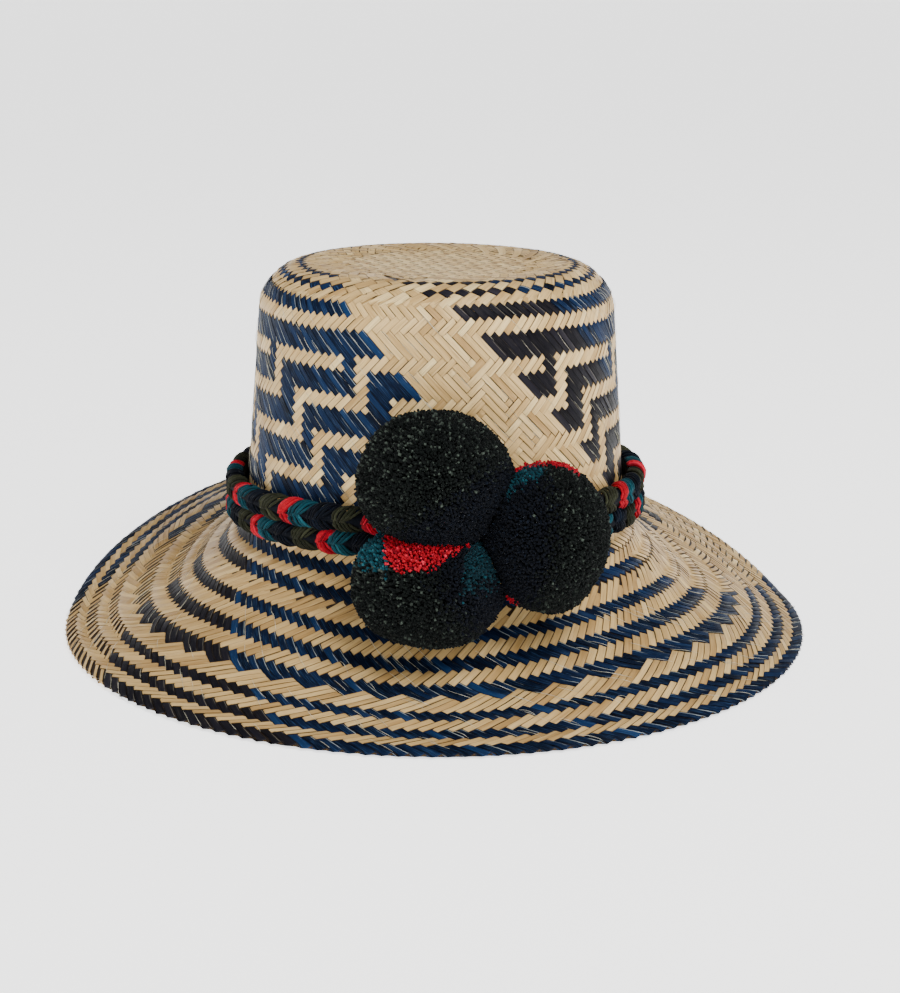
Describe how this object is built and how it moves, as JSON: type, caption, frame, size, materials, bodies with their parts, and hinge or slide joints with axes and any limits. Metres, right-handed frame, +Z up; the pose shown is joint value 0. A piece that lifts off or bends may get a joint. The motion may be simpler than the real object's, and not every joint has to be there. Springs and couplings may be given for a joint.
{
  "type": "woven straw hat",
  "caption": "Woven straw hat with a rounded flat-topped crown, a flared brim lifted at the back, a braided wool band and wool pompoms at the front.",
  "frame": {"origin": "centre of the brim's edge circle, on the surface that the hat rests on", "axes": "+Z up through the crown, -Y towards the front with the pompoms, +X to the viewer's right"},
  "size_m": [0.3616, 0.3616, 0.1761],
  "materials": {
    "woven_straw": "satin plaited palm straw, natural with black and blue dyed strands",
    "band_wool": "matte braided wool in red, teal, navy and olive",
    "pompom_wool": "dense clipped wool, dark green with red and teal patches"
  },
  "bodies": {
    "root": {"crown": "woven_straw", "brim": "woven_straw", "braided_band": "band_wool", "pompom_upper": "pompom_wool", "pompom_right": "pompom_wool", "pompom_lower": "pompom_wool"}
  },
  "joints": []
}
